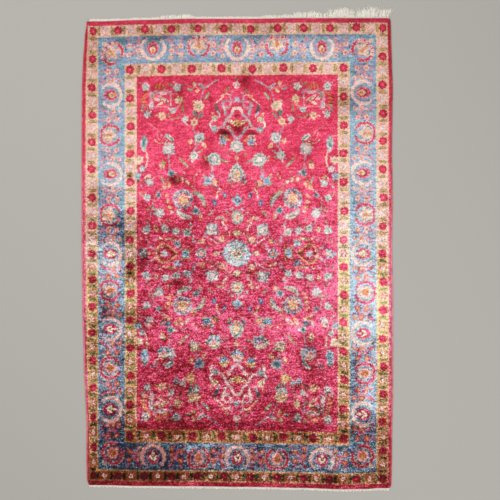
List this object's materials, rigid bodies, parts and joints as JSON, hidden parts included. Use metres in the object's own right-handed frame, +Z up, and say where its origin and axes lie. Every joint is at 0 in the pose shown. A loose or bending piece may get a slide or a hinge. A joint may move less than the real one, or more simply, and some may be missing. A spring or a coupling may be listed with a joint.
{
  "type": "persian rug",
  "caption": "Hand-knotted pile rug lying flat, with an all-over floral field, layered borders, overcast sides and a worn cotton fringe at each end.",
  "frame": {"origin": "on the floor, at the middle of the rug's whole outline, fringes counted", "axes": "+X across the rug to its right side, +Y along the rug to the end with the long fringe, +Z up out of the pile"},
  "size_m": [1.35, 2.1108, 0.009],
  "materials": {
    "pile": "lustrous wool pile, knotted",
    "overcast": "wool overcasting, matte",
    "cotton": "undyed cotton, matte"
  },
  "bodies": {
    "root": {"rug": "pile", "selvedge_left": "overcast", "selvedge_right": "overcast", "fringe_top": "cotton", "fringe_bottom": "cotton"}
  },
  "joints": []
}
